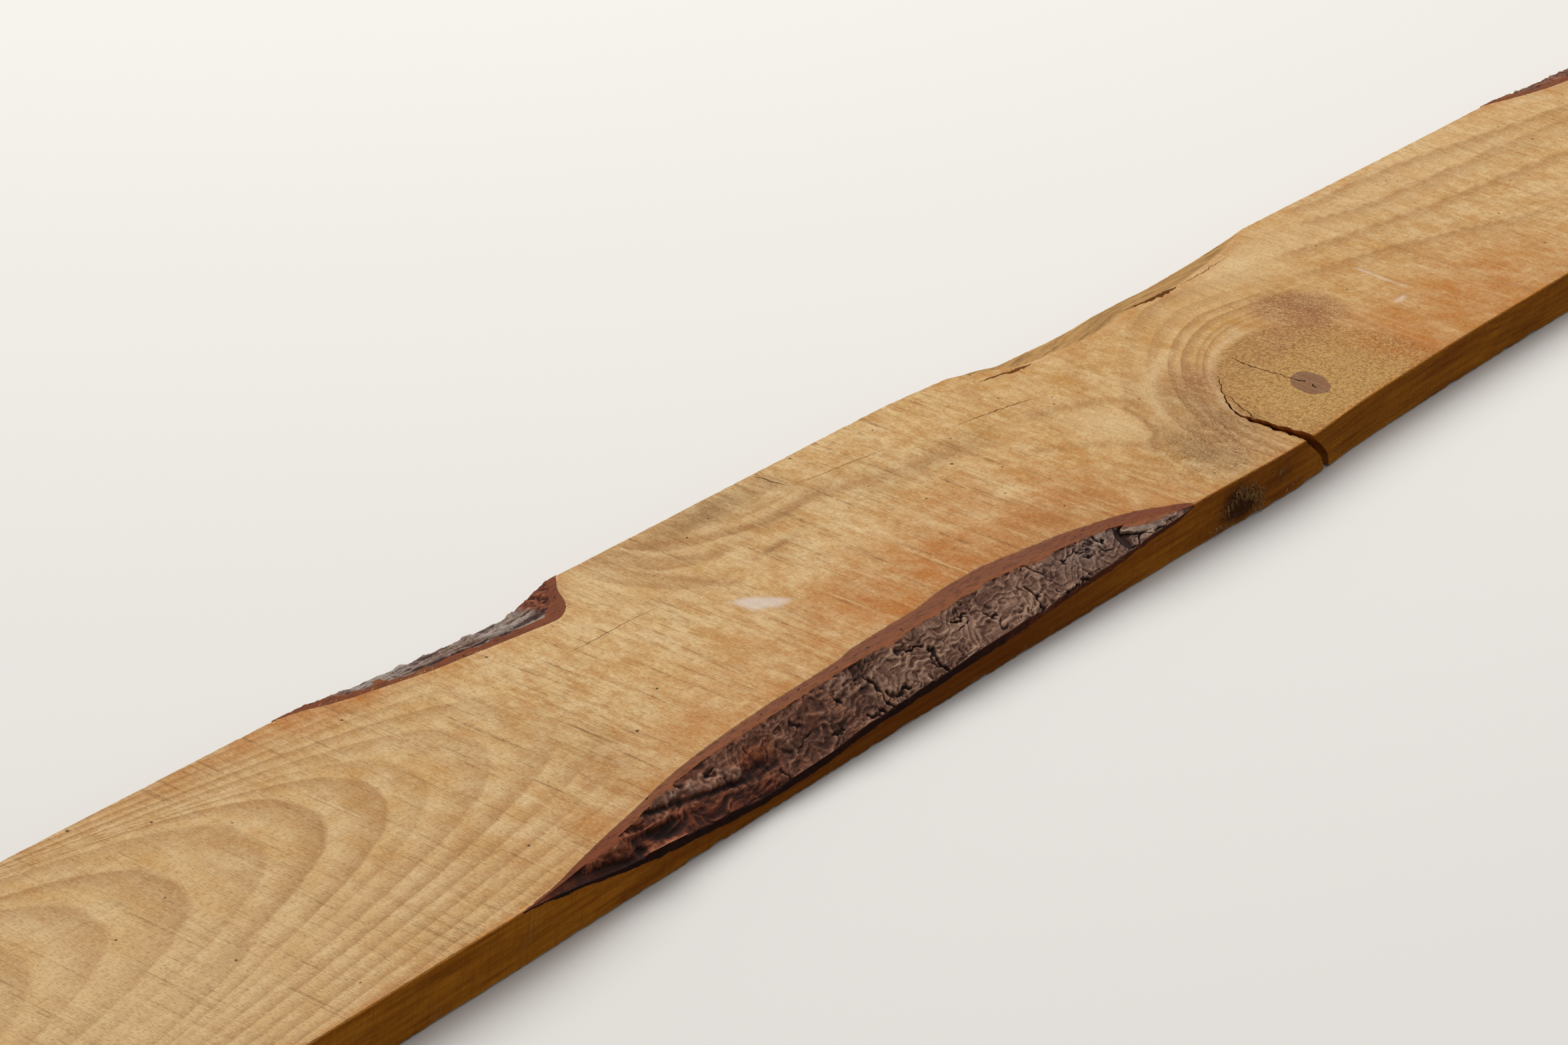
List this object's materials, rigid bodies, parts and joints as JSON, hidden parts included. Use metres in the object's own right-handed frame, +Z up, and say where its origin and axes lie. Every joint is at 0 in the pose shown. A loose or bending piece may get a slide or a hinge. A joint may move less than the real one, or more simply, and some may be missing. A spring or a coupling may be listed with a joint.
{
  "type": "timber lumber plank",
  "caption": "Rough-sawn waney-edged softwood plank with bark left on its edges, a large edge knot and a drying crack, for boarding, cladding or shelving.",
  "frame": {"origin": "middle of the plank's underside, on the surface it lies on", "axes": "+X along the plank, +Y across it from the near edge with the knot to the far edge, +Z up out of the face nearest the bark"},
  "size_m": [2.4, 0.1503, 0.025],
  "materials": {
    "wood": "rough-sawn pine, untreated",
    "bark": "flaky pine bark left on the wane"
  },
  "bodies": {
    "root": {"plank": "wood"}
  },
  "joints": []
}
